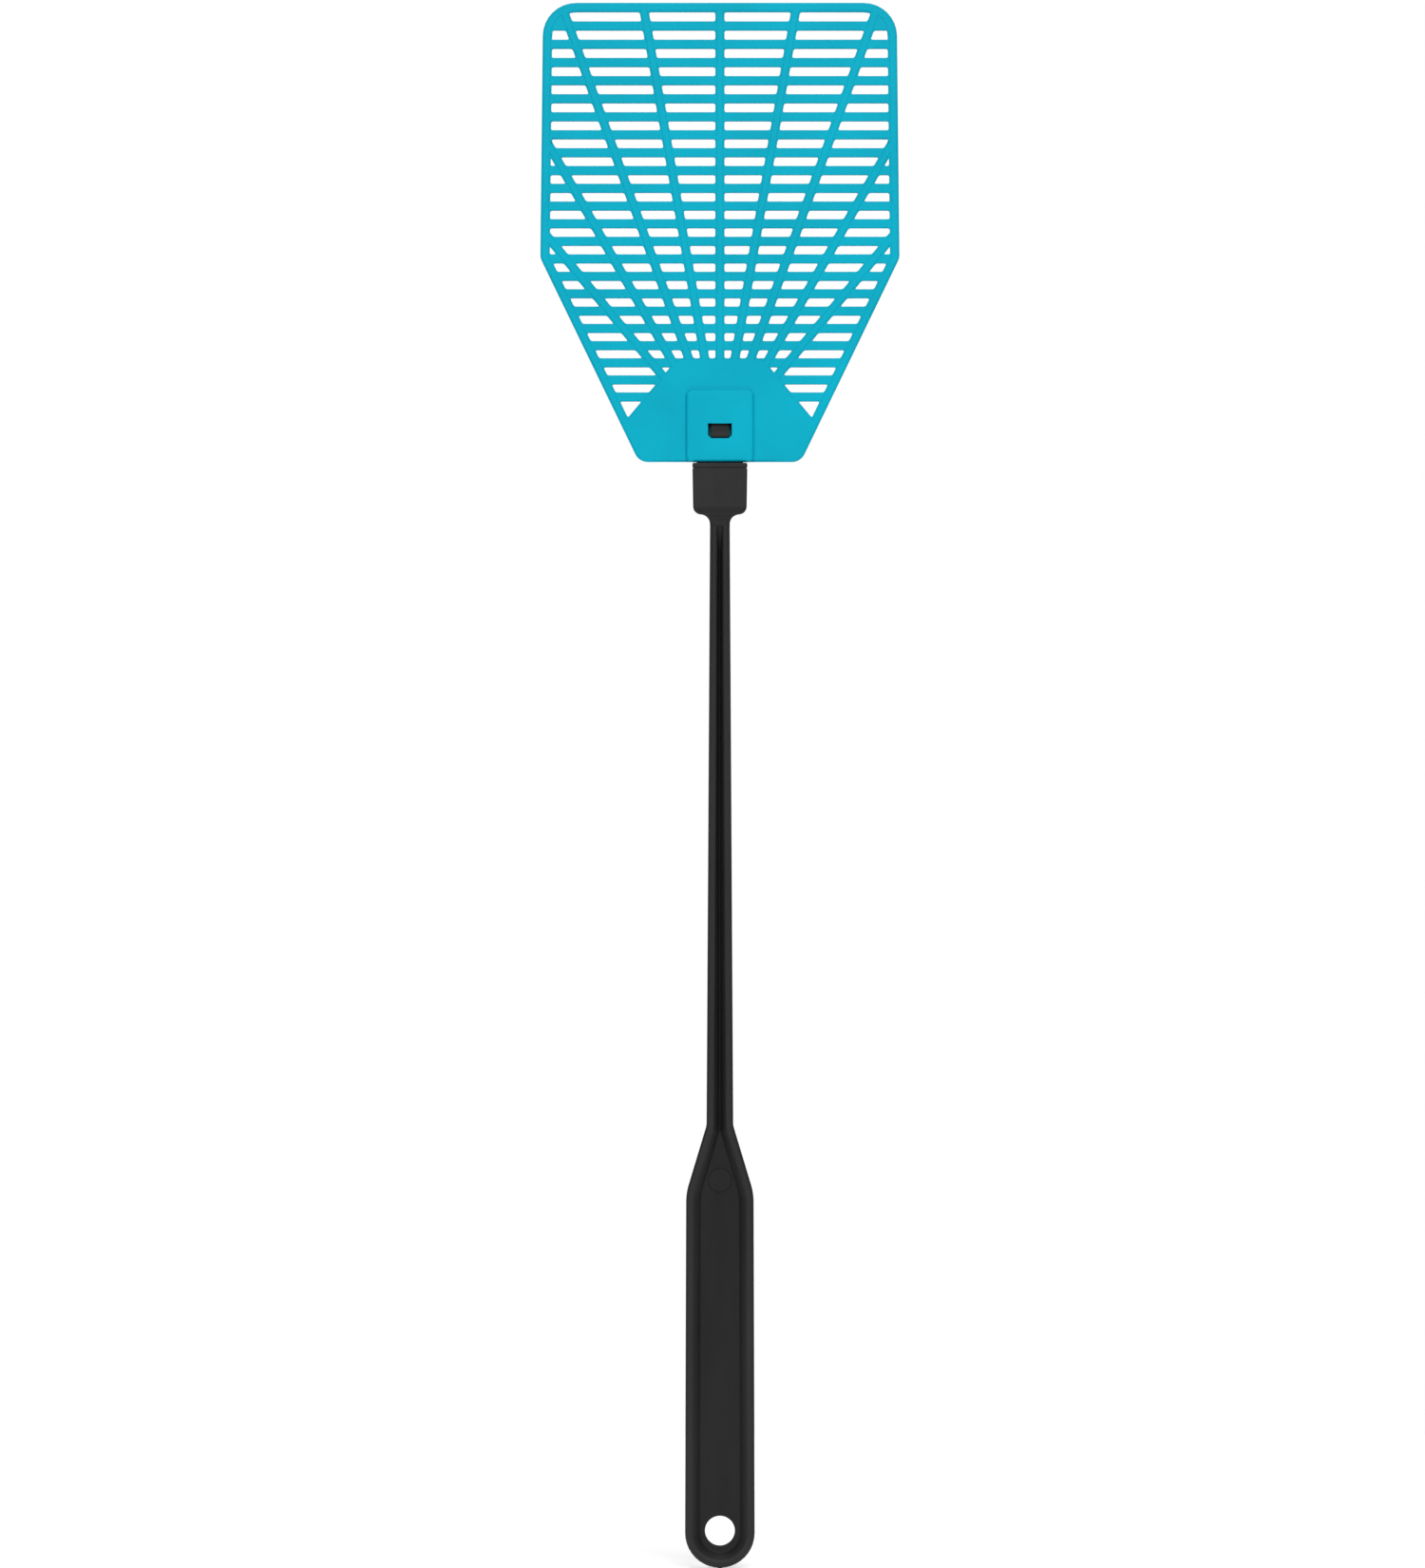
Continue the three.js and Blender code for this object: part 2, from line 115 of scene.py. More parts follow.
def colour(name, description, default):
    return FloatVectorProperty(
        name=name,
        description=description,
        default=default,
        size=3,
        min=0.0,
        max=1.0,
        subtype="COLOR",
    )


class SwatterHeadSizes(bpy.types.PropertyGroup):
    """Sizes of the perforated head"""

    width: length("Width", "Across the widest corners", HEAD_WIDTH)
    height: length("Height", "Bottom edge to tip", HEAD_LENGTH)
    top_width: length("Top width", "Between the top corners before rounding", 100.6 * MM)
    bottom_width: length("Bottom width", "Between the bottom corners before rounding", 46 * MM)
    widest_height: length("Widest height", "Of the widest corners", 58 * MM)
    top_corner: length("Top corner", "Radius of the top corners", 9.5 * MM)
    side_corner: length("Side corner", "Radius of the widest corners", 4 * MM)
    bottom_corner: length("Bottom corner", "Radius of the bottom corners", 4 * MM)
    thickness: length("Thickness", "Of rim, ribs and throat plate", 2 * MM)
    rib_rise: length("Rib rise", "How far ribs and rim stand over the slats", 0.16 * MM)
    rib_shelf: length("Rib shelf", "Slat-level ledge along each rib and the rim", 0.42 * MM)
    rim_width: length("Rim width", "Of the rim", 2.65 * MM)
    slat_width: length("Slat width", "Of the cross slats", 2.6 * MM)
    rib_width: length("Rib width", "Of the fan ribs", 2.6 * MM)
    rows: IntProperty(name="Rows", description="Rows of windows", default=23, min=4, max=60)
    row_ease: FloatProperty(
        name="Row ease", description="Top row's pitch over the mean pitch", default=1.037
    )
    last_row_height: length("Last row", "Upper edge of the lowest windows", 17.2 * MM)
    rib_pairs: IntProperty(
        name="Rib pairs", description="Ribs on each side of the middle one", default=4, min=1
    )
    rib_step: angle("Rib step", "Angle between ribs", 9.9)
    rib_focus: length("Rib focus", "Height of the point that the ribs fan out from", 4.8 * MM)
    throat_top: length("Throat top", "Height of the throat plate's top edge", THROAT_TOP)
    throat_half: length("Throat half", "Half the throat plate's top edge", 12 * MM)
    throat_slope: angle("Throat slope", "Fall of the throat plate's shoulders", 50)
    flex_reach: length("Flex reach", "Length over which the head bends", 26 * MM)
    window_corner: length("Window corner", "Reach of the windows' rounded corners", 0.5 * MM)
    edge_round: length("Edge rounding", "Along every window and the outline", 0.3 * MM)
    pad_width: length("Pad width", "Of the pocket's pad", 19.2 * MM)
    pad_height: length("Pad height", "Of the pocket's pad", 20.5 * MM)
    pad_depth: length("Pad depth", "Front to back over the pocket", PAD_DEPTH)
    pad_corner: length("Pad corner", "Radius of the pad's corners", 1.6 * MM)
    pad_edge: length("Pad edge", "Rounding round the pad's face", 0.8 * MM)
    pocket_width: length("Pocket width", "Inside", 13.8 * MM)
    pocket_depth: length("Pocket depth", "Inside, front to back", 2.6 * MM)
    pocket_height: length("Pocket height", "Inside, bottom to top", 17.5 * MM)
    latch_width: length("Latch window width", "Of the latch window", 6.8 * MM)
    latch_bottom: length("Latch window bottom", "Its lower edge's height", 6.7 * MM)
    latch_top: length("Latch window top", "Its upper edge's height", 10.9 * MM)
    latch_chamfer: length("Latch window chamfer", "At its two lower corners", 0.9 * MM)
    latch_round: length("Latch window rounding", "Of its outer edge", 0.15 * MM)


class SwatterHandleSizes(bpy.types.PropertyGroup):
    """Sizes of the handle. Heights count from the grip's end"""

    grip_length: length("Grip length", "End to shoulder", 106.4 * MM)
    end_width: length("End width", "Of the grip at its end", 19.9 * MM)
    shoulder_width: length("Shoulder width", "Of the grip at its shoulder", 19.2 * MM)
    neck_length: length("Neck length", "Shoulder to shaft", 19.2 * MM)
    shaft_length: length("Shaft length", "Neck to collar", 174.2 * MM)
    shaft_bottom: length("Shaft bottom width", "At the neck", 7.6 * MM)
    shaft_top: length("Shaft top width", "At the collar", 5.6 * MM)
    depth: length("Depth", "Front to back at the grip", 6 * MM)
    shaft_depth: length("Shaft depth", "Front to back at the collar", 5 * MM)
    web: length("Web", "Thickness between the two hollows", 1.8 * MM)
    rim: length("Rim", "Flat band along the bar's edge", 2 * MM)
    groove_floor: length("Groove floor", "Width of the shaft groove's floor", 0.24 * MM)
    groove_web: length("Groove web", "Thickness between the shaft's two grooves", 0.9 * MM)
    groove_fade: length("Groove fade", "Length of the ramp at the groove's upper end", 8 * MM)
    grip_slope: length("Grip slope", "Width of the hollow's side walls on the grip", 2.2 * MM)
    shoulder_corner: length("Shoulder corner", "Reach of the grip's shoulders", 2.5 * MM)
    neck_corner: length("Neck corner", "Reach of the corners where the shaft starts", 0.8 * MM)
    outer_round: length("Outer rounding", "Along the bar's outer edges", 1.0 * MM)
    inner_round: length("Inner rounding", "Where the rim falls into the hollow", 0.4 * MM)
    floor_round: length("Floor rounding", "Round the hollow's floor", 0.1 * MM)
    hole: length("Hole", "Diameter of the hanging hole", 8.5 * MM)
    hole_height: length("Hole height", "Of the hanging hole", 10.4 * MM)
    hole_round: length("Hole rounding", "Of the hanging hole's rims", 0.3 * MM)
    pin_pad: length("Pin pad", "Diameter of the round mould mark", 6.5 * MM)
    pin_pad_height: length("Pin pad height", "Of the round mould mark", 110.1 * MM)
    pin_pad_rise: length("Pin pad rise", "Of the round mould mark over the web", 0.45 * MM)
    gate_mark: length("Gate mark", "Width of the moulding's gate mark at the grip's end", 1.4 * MM)
    collar_top: length("Collar top width", "Under the bead", 15.6 * MM)
    collar_bottom: length("Collar bottom width", "Above its corners", 15.2 * MM)
    collar_depth: length("Collar depth", "Front to back", COLLAR_DEPTH)
    collar_length: length("Collar length", "Underside to bead line", 12.7 * MM)
    collar_corner: length("Collar corner", "Reach of its lower corners", 1.98 * MM)
    collar_flare: length("Collar flare", "Length of the curve from the shaft", 3.6 * MM)
    collar_swell: length("Collar swell", "Length over which its depth grows", 6 * MM)
    bead_groove: length("Bead line", "Height and depth of the line under the bead", 0.3 * MM)
    bead: length("Bead", "Height of the bead", 1.3 * MM)
    tongue_width: length("Tongue width", "Of the tongue", 13.2 * MM)
    tongue_thickness: length("Tongue thickness", "Of the tongue", 2 * MM)
    tongue_chamfer: length("Tongue chamfer", "At its tip", 1.2 * MM)
    catch_height: length("Catch height", "Catch face above the bead", 7.3 * MM)
    catch_width: length("Catch width", "Of the finger and its wedge", 5.2 * MM)
    catch_ramp: length("Catch ramp", "Height of the wedge", 3.6 * MM)
    catch_round: length("Catch rounding", "Of the finger's and the wedge's edges", 0.14 * MM)
    finger_length: length("Finger length", "Of the springy finger", 8 * MM)
    finger_thickness: length("Finger thickness", "Of the springy finger", 0.9 * MM)
    finger_slot: length("Finger slot", "Along and below the finger", 0.6 * MM)
    finger_gap: length("Finger gap", "Of the slot over the finger, which the root fills", 0.3 * MM)
    finger_root: length("Finger root", "How far the finger runs into the tongue", 0.25 * MM)


class SwatterLook(bpy.types.PropertyGroup):
    """Colours of the two plastics"""

    head: colour("Head colour", "Of the soft plastic", (0.0, 0.46, 0.63))
    handle: colour("Handle colour", "Of the stiff plastic", (0.015, 0.015, 0.0155))


# ---- mesh helpers ----
def geometry_of(faces):
    """The faces with their edges and vertices, each once, in a fixed order."""
    edges = [e for f in faces for e in f.edges]
    verts = [v for f in faces for v in f.verts]
    return list(dict.fromkeys([*faces, *edges, *verts]))


def mid(face):
    return face.calc_center_median()


def turn_outwards(bm):
    bmesh.ops.recalc_face_normals(bm, faces=bm.faces[:])


def faces_at(bm, y):
    """The faces that lie flat at one depth."""
    return [f for f in bm.faces if all(abs(v.co.y - y) < TINY for v in f.verts)]


def cut(bm, faces, point, normal):
    bmesh.ops.bisect_plane(
        bm, geom=geometry_of(faces), dist=TINY, plane_co=point, plane_no=normal
    )


def cut_level(bm, faces, z):
    cut(bm, faces, (0, 0, z), (0, 0, 1))


def cut_frame(bm, find_faces, half, *levels):
    """Cuts upright lines at each side of the middle, and level lines."""
    for side in (1, -1):
        cut(bm, find_faces(), (side * half, 0, 0), (1, 0, 0))
    for z in levels:
        cut_level(bm, find_faces(), z)


def new_verts(made):
    return [v for v in made["geom"] if isinstance(v, bmesh.types.BMVert)]


def bevel(bm, geom, size, segments, affect):
    return bmesh.ops.bevel(
        bm,
        geom=geom,
        offset=size,
        offset_type="OFFSET",
        segments=segments,
        profile=0.5,
        affect=affect,
        clamp_overlap=False,
        loop_slide=True,
        material=-1,
    )


def round_edges(bm, edges, size, segments):
    """Rounds edges, and shades only the new strips smooth, so that flat faces stay flat."""
    for face in bevel(bm, edges, size, segments, "EDGES")["faces"]:
        face.smooth = True


def corner_arc(before, corner, after, reach, segments):
    """Points of the round arc that leaves both edges at a distance from their corner."""
    to_start = (before - corner).normalized()
    to_end = (after - corner).normalized()
    half = to_start.angle(to_end) / 2
    centre = corner + (to_start + to_end).normalized() * reach / math.cos(half)
    radius = reach * math.tan(half)
    start = (corner + to_start * reach - centre).normalized()
    end = (corner + to_end * reach - centre).normalized()
    return [centre + start.slerp(end, i / segments) * radius for i in range(segments + 1)]


def outline_sheet(bm, right, y, segments, by_radius=False):
    """A flat face that looks to the front, from right-hand corners, bottom to top.

    A corner is (x, z, reach of its rounding), or with by_radius (x, z, radius)."""
    corners = right + [(-x, z, size) for x, z, size in reversed(right)]
    places = [Vector((x, y, z)) for x, z, _ in corners]
    ring = []
    for i, (_, _, reach) in enumerate(corners):
        before, place, after = places[i - 1], places[i], places[(i + 1) % len(places)]
        if by_radius:
            reach /= math.tan((before - place).angle(after - place) / 2)
        if reach > 0:
            ring += corner_arc(before, place, after, reach, segments)
        else:
            ring.append(place)
    apart = [place for i, place in enumerate(ring) if (place - ring[i - 1]).length > TINY]
    face = bm.faces.new([bm.verts.new(place) for place in apart])
    bm.normal_update()
    return face


def inset(bm, face, thickness, depth=0.0):
    """Draws a face in by a distance, and returns the ring that is left round it."""
    made = bmesh.ops.inset_region(
        bm,
        faces=[face],
        thickness=thickness,
        depth=depth,
        use_boundary=True,
        use_even_offset=True,
    )
    return made["faces"]


def open_edges(bm):
    return [e for e in bm.edges if e.is_boundary]


def extrude_border(bm, y):
    """Walls from every open edge back to a depth."""
    for vert in new_verts(bmesh.ops.extrude_edge_only(bm, edges=open_edges(bm))):
        vert.co.y = y


def close_by_mirror(bm):
    """Adds the back half, the mirror image of the front half, and joins them."""
    for vert in bm.verts:
        if abs(vert.co.y) < TINY:
            vert.co.y = 0.0
    bmesh.ops.mirror(bm, geom=bm.verts[:] + bm.edges[:] + bm.faces[:], axis="Y", merge_dist=TINY)
    turn_outwards(bm)


def steep_edges(bm, y, least=60.0):
    """Outward edges at a depth between faces that turn by more than an angle."""
    bm.normal_update()
    found = []
    for edge in bm.edges:
        if len(edge.link_faces) != 2 or not edge.is_convex:
            continue
        if all(abs(v.co.y - y) < TINY for v in edge.verts):
            if edge.calc_face_angle() > math.radians(least):
                found.append(edge)
    return found


def object_from(bm, name):
    mesh = bpy.data.meshes.new(name)
    bm.to_mesh(mesh)
    bm.free()
    piece = bpy.data.objects.new(name, mesh)
    bpy.context.scene.collection.objects.link(piece)
    return piece


def combine(base, other, operation):
    """Joins or subtracts another closed object, and removes it."""
    tool = base.modifiers.new("combine", "BOOLEAN")
    tool.operation = operation
    tool.solver = "EXACT"
    tool.object = other
    graph = bpy.context.evaluated_depsgraph_get()
    mesh = bpy.data.meshes.new_from_object(base.evaluated_get(graph))
    base.modifiers.clear()
    old = base.data
    base.data = mesh
    mesh.name = base.name
    bpy.data.meshes.remove(old)
    bpy.data.objects.remove(other)
    return base


def join_shells(base, other):
    """Puts another closed object's mesh into the first one, and removes it."""
    bm = bmesh.new()
    bm.from_mesh(base.data)
    bm.from_mesh(other.data)
    bm.to_mesh(base.data)
    bm.free()
    mesh = other.data
    bpy.data.objects.remove(other)
    bpy.data.meshes.remove(mesh)
    return base


def block(width, depth, bottom, top):
    """A box, centred front to back and side to side."""
    bm = bmesh.new()
    bmesh.ops.create_cube(bm, size=1.0)
    bmesh.ops.scale(bm, vec=(width, depth, top - bottom), verts=bm.verts)
    bmesh.ops.translate(bm, vec=(0, 0, (top + bottom) / 2), verts=bm.verts)
    return bm


# ---- head ----
SHEET, RIM_LEDGE, RIM_TOP = range(3)  # kinds of face
MID_WINDOW = 1.2 * MM  # from a window's upper edge to its middle
SMALLEST_WINDOW = 1.2 * MM * MM
BEND_ROWS = 3  # rows on each side of the throat's edge whose slats are cut through the middle


class HeadPlan:
    """Where the head's rows, ribs and throat lie, in heights from its bottom edge."""

    def __init__(self, size):
        self.size = size
        self.rows = self.window_rows()
        self.flex_row = max(i for i, row in enumerate(self.rows) if row[1] > size.throat_top - MM)
        self.throat_top = self.rows[self.flex_row][1]
        self.mids = [upper - MID_WINDOW for upper, _ in self.rows]
        pairs = size.rib_pairs
        self.ribs = [k * size.rib_step for k in range(-pairs, pairs + 1)]
        self.rays = [(k + 0.5) * size.rib_step for k in range(-pairs, pairs)]
        self.focus = Vector((0, 0, size.rib_focus))

    def window_rows(self):
        size = self.size
        top = size.height - size.rim_width
        mean = (top - size.last_row_height) / (size.rows - 1)
        rows = []
        upper = top
        for i in range(size.rows):
            ease = size.row_ease + i * 2 * (1 - size.row_ease) / (size.rows - 2)
            lower = upper - mean * ease + size.slat_width
            rows.append((upper, lower if i < size.rows - 1 else 0.0))
            upper -= mean * ease
        return rows

    @staticmethod
    def across(angle):
        """The direction square to a rib."""
        return Vector((math.cos(angle), 0, -math.sin(angle)))

    def off_rib(self, point, angle):
        return (point - self.focus).dot(self.across(angle))

    def shoulder(self, side):
        """A point on the throat's shoulder, and its outward direction."""
        size = self.size
        start = Vector((side * size.throat_half, 0, self.throat_top))
        out = Vector((side * math.sin(size.throat_slope), 0, math.cos(size.throat_slope)))
        return start, out

    def in_throat(self, point, margin=0.0):
        if point.z > self.throat_top - margin:
            return False
        start, out = self.shoulder(1 if point.x > 0 else -1)
        return (point - start).dot(out) < -margin

    def on_rib(self, point, half):
        return any(abs(self.off_rib(point, angle)) < half for angle in self.ribs)

    def is_window(self, face, web):
        centre = mid(face)
        if not face[web] or self.in_throat(centre):
            return False
        if self.on_rib(centre, self.size.rib_width / 2):
            return False
        in_row = any(lower < centre.z < upper for upper, lower in self.rows)
        return in_row and face.calc_area() > SMALLEST_WINDOW

    def stands_proud(self, face, kind):
        """True for the raised middle of ribs and rim, and for the throat plate."""
        ledge = self.size.rib_shelf
        if face[kind] in (RIM_LEDGE, RIM_TOP):
            return face[kind] == RIM_TOP
        centre = mid(face)
        return self.in_throat(centre, ledge) or self.on_rib(
            centre, self.size.rib_width / 2 - ledge
        )

    def between_cells(self, edge):
        """True for an edge on a line halfway through windows."""
        a, b = (v.co for v in edge.verts)
        if any(abs(a.z - z) < 2 * TINY and abs(b.z - z) < 2 * TINY for z in self.mids):
            return True
        if min(a.z, b.z) < self.mids[self.flex_row] - TINY:
            return False
        return any(
            abs(self.off_rib(a, ray)) < 2 * TINY and abs(self.off_rib(b, ray)) < 2 * TINY
            for ray in self.rays
        )


def start_head_sheet(bm, size):
    """The outline, with the rim's ledge, top and inner ledge as rings inside it."""
    kind = bm.faces.layers.int["kind"]
    right = [
        (size.bottom_width / 2, 0.0, size.bottom_corner),
        (size.width / 2, size.widest_height, size.side_corner),
        (size.top_width / 2, size.height, size.top_corner),
    ]
    inner = outline_sheet(bm, right, 0.0, 8, by_radius=True)
    ledge = size.rib_shelf
    rings = (
        (ledge, RIM_LEDGE),
        (size.rim_width - 2 * ledge, RIM_TOP),
        (ledge, SHEET),
    )
    for thickness, value in rings:
        for face in inset(bm, inner, thickness):
            face[kind] = value
    inner[kind] = SHEET
    return inner


def beside(faces, side):
    """Those that reach to one side of the middle."""
    return [f for f in faces if any(v.co.x * side > TINY for v in f.verts)]


def cut_grid(bm, plan, inner):
    """Cuts the sheet inside the rim along every slat, rib and shoulder."""
    size = plan.size
    web = bm.faces.layers.int["web"]
    inner[web] = 1

    def web_faces(keep):
        return [f for f in bm.faces if f[web] and keep(mid(f))]

    for upper, lower in plan.rows:
        for z in (upper, lower):
            if 0 < z < size.height - size.rim_width - TINY:
                cut_level(bm, web_faces(lambda c: True), z)
    for side in (-1, 1):
        start, out = plan.shoulder(side)
        cut(bm, beside(web_faces(lambda c: c.z < plan.throat_top), side), start, out)
    for angle in plan.ribs:
        for side in (-1, 1):
            normal = plan.across(angle)
            point = plan.focus + normal * side * size.rib_width / 2
            cut(bm, web_faces(lambda c: not plan.in_throat(c)), point, normal)


def open_windows(bm, plan):
    web = bm.faces.layers.int["web"]
    windows = [f for f in bm.faces if plan.is_window(f, web)]
    bmesh.ops.delete(bm, geom=windows, context="FACES")


def inside_corners(bm, least=25.0):
    """Edges from front to back where two walls of a window meet at more than an angle."""
    for edge in bm.edges:
        a, b = (v.co for v in edge.verts)
        along = abs(a.y - b.y) > TINY and abs(a.x - b.x) < TINY and abs(a.z - b.z) < TINY
        if along and len(edge.link_faces) == 2 and not edge.is_convex:
            if edge.calc_face_angle() >= math.radians(least):
                yield edge


def round_window_corners(bm, reach):
    """Rounds the corners of the windows, less where a side has no room for two roundings."""
    bm.normal_update()
    room = 2.1 * reach
    wide = []
    narrow = []
    for edge in inside_corners(bm):
        sides = [f.calc_area() / edge.calc_length() for f in edge.link_faces]
        (wide if min(sides) > room else narrow).append(edge)
    round_edges(bm, wide, reach, 3)
    round_edges(bm, [e for e in narrow if e.is_valid], reach / 3, 1)


def cut_ledges_and_cells(bm, plan):
    """Cuts the edges of the raised parts, and halfway through every window."""
    size = plan.size
    ledge = size.rib_shelf
    kind = bm.faces.layers.int["kind"]

    def open_faces(keep):
        return [f for f in bm.faces if f[kind] == SHEET and keep(mid(f))]

    for z in plan.mids:
        cut_level(bm, bm.faces[:], z)
    floor = plan.mids[plan.flex_row]
    for ray in plan.rays:
        upper = [f for f in bm.faces if mid(f).z > floor]
        cut(bm, upper, plan.focus, plan.across(ray))
    throat = plan.throat_top
    slat_middle = throat + size.slat_width / 2
    cut_level(bm, open_faces(lambda c: c.z < slat_middle), throat - ledge)
    for side in (-1, 1):
        start, out = plan.shoulder(side)
        cut(bm, beside(open_faces(lambda c: c.z < throat), side), start - out * ledge, out)
    for angle in plan.ribs:
        for side in (-1, 1):
            normal = plan.across(angle)
            point = plan.focus + normal * side * (size.rib_width / 2 - ledge)
            cut(bm, open_faces(lambda c: not plan.in_throat(c, ledge)), point, normal)


def cell_from(face, fences, seen, proud):
    """The faces that can be reached from one at its own level, without crossing a fence."""
    cell = [face]
    seen.add(face)
    for member in cell:
        for edge in member.edges:
            if edge in fences:
                continue
            for other in edge.link_faces:
                if other not in seen and other[proud] == member[proud]:
                    seen.add(other)
                    cell.append(other)
    return cell


def merge_cells(bm, plan):
    """Joins the cut faces round each crossing, up to the lines halfway through windows."""
    kind = bm.faces.layers.int["kind"]
    proud = bm.faces.layers.int["proud"]
    for face in bm.faces:
        face[proud] = int(plan.stands_proud(face, kind))
    fences = {e for e in bm.edges if plan.between_cells(e)}
    seen = set()
    cells = [cell_from(f, fences, seen, proud) for f in bm.faces if f not in seen]
    for cell in cells:
        if len(cell) > 1:
            bmesh.ops.dissolve_faces(bm, faces=cell, use_verts=False)


def delete_between(bm, half, low, high):
    """Deletes the faces near the middle, between two heights."""
    centres = [(face, mid(face)) for face in bm.faces]
    inside = [face for face, c in centres if abs(c.x) < half and low < c.z < high]
    bmesh.ops.delete(bm, geom=inside, context="FACES")


def cut_pocket_notch(bm, size):
    """Leaves room in the plate for the pocket, under the pad."""
    half = (size.pocket_width + size.pad_width) / 4
    top = (size.pocket_height + size.pad_height) / 2
    margin = 5 * MM

    def low_faces():
        return [f for f in bm.faces if mid(f).z < top + margin]

    cut_frame(bm, low_faces, half, top)
    delete_between(bm, half, 0.0, top)


def raise_proud_parts(bm, size):
    """Lifts ribs, rim and throat over the slats on the front."""
    slat_level = -(size.thickness / 2 - size.rib_rise)
    for vert in bm.verts:
        vert.co.y = slat_level
    proud = bm.faces.layers.int["proud"]
    lifted = [f for f in bm.faces if f[proud]]
    tops = new_verts(bmesh.ops.extrude_face_region(bm, geom=lifted))
    bmesh.ops.translate(bm, vec=(0, -size.rib_rise, 0), verts=tops)
    bmesh.ops.delete(bm, geom=lifted, context="FACES")
    return slat_level


def head_lattice_plate(size):
    """The plate: a sheet with its windows cut, its ribs raised and its back mirrored."""
    bm = bmesh.new()
    for layer in ("kind", "web", "proud"):
        bm.faces.layers.int.new(layer)
    plan = HeadPlan(size)
    inner = start_head_sheet(bm, size)
    cut_grid(bm, plan, inner)
    open_windows(bm, plan)
    cut_ledges_and_cells(bm, plan)
    merge_cells(bm, plan)
    cut_pocket_notch(bm, size)
    bend = plan.rows[plan.flex_row - BEND_ROWS : plan.flex_row + BEND_ROWS]
    for _, lower in bend:
        cut_level(bm, bm.faces[:], lower - size.slat_width / 2)
    slat_level = raise_proud_parts(bm, size)
    extrude_border(bm, 0.0)
    round_window_corners(bm, size.window_corner)
    round_edges(bm, steep_edges(bm, slat_level), size.edge_round, 2)
    round_edges(bm, steep_edges(bm, -size.thickness / 2, 40), FINE_ROUND, 1)
    close_by_mirror(bm)
    return object_from(bm, "head_moulding")


def extent(face, axis):
    values = [v.co[axis] for v in face.verts]
    return max(values) - min(values)


def runs_through(edge):
    """True for an edge that runs from front to back."""
    return abs(edge.verts[0].co.y - edge.verts[1].co.y) > MM


def rounded_pad(size):
    bm = block(size.pad_width, size.pad_depth, 0.0, size.pad_height)
    round_edges(bm, [e for e in bm.edges if runs_through(e)], size.pad_corner, 5)
    round_edges(bm, [e for e in bm.edges if not runs_through(e)], size.pad_edge, 5)
    return bm


def sink_pocket(bm, size):
    """Hollows the pad from below."""
    mouth = min(bm.faces, key=lambda f: mid(f).z)
    lip = (extent(mouth, 1) - size.pocket_depth) / 2
    bmesh.ops.inset_individual(bm, faces=[mouth], thickness=lip, use_even_offset=True)
    narrowing = size.pocket_width / extent(mouth, 0)
    bmesh.ops.scale(bm, vec=(narrowing, 1, 1), verts=mouth.verts)
    roof = new_verts(bmesh.ops.extrude_face_region(bm, geom=[mouth]))
    bmesh.ops.translate(bm, vec=(0, 0, size.pocket_height), verts=roof)
    bmesh.ops.delete(bm, geom=[mouth], context="FACES")


def pocket_front(bm, size):
    """The depth of the pocket's front wall, inside."""
    depths = []
    for face in bm.faces:
        y = mid(face).y
        if extent(face, 1) < TINY and abs(abs(y) - size.pocket_depth / 2) < 10 * TINY:
            depths.append(y)
    return min(depths)


def latch_window_ring(bm, y, size):
    """Cuts the latch window in the wall at a depth, and returns the edges of its opening."""
    bottom = size.latch_bottom
    top = size.latch_top
    middle = Vector((0, y, (bottom + top) / 2))

    def opening():
        return min(faces_at(bm, y), key=lambda f: (mid(f) - middle).length)

    cut_frame(bm, lambda: faces_at(bm, y), size.latch_width / 2, bottom, top)
    low = [v for v in opening().verts if v.co.z < bottom + TINY]
    bevel(bm, low, size.latch_chamfer, 1, "VERTICES")
    window = opening()
    ring = list(window.edges)
    bmesh.ops.delete(bm, geom=[window], context="FACES_ONLY")
    return ring


def pocket_pad(size):
    """The rounded pad with the pocket in it, open at the bottom, and its latch window."""
    bm = rounded_pad(size)
    front = min(mid(f).y for f in bm.faces)
    sink_pocket(bm, size)
    rings = [latch_window_ring(bm, y, size) for y in (front, pocket_front(bm, size))]
    bmesh.ops.bridge_loops(bm, edges=rings[0] + rings[1])
    turn_outwards(bm)
    round_edges(bm, rings[0], size.latch_round, 2)
    return object_from(bm, "pocket")


def build_head(size):
    return join_shells(head_lattice_plate(size), pocket_pad(size))


# ---- handle ----
OUTER, RIM_INNER, FLOOR = 1, 2, 3  # flags of edges
FIRST_SLOPE = 0.5 * MM  # how far the hollow's floor is drawn in before its walls are sloped
BAR_GAP = 0.3 * MM  # from the bar's end up to the collar, whose foot closes it
RING_STEPS = 5
COLLAR_CORNER = 0.5 * MM
SKIN = 0.03 * MM  # from the shaft out to the collar's foot


class HandlePlan:
    """Heights along the handle, from the grip's end."""

    def __init__(self, size):
        self.size = size
        self.shaft_start = size.grip_length + size.neck_length
        self.collar_start = self.shaft_start + size.shaft_length
        self.bead_start = self.collar_start + size.collar_length + size.bead_groove
        self.tongue_start = self.bead_start + size.bead
        self.catch_face = self.tongue_start + size.catch_height


def flagged(bm, value):
    flag = bm.edges.layers.int["flag"]
    return [e for e in bm.edges if e[flag] == value]


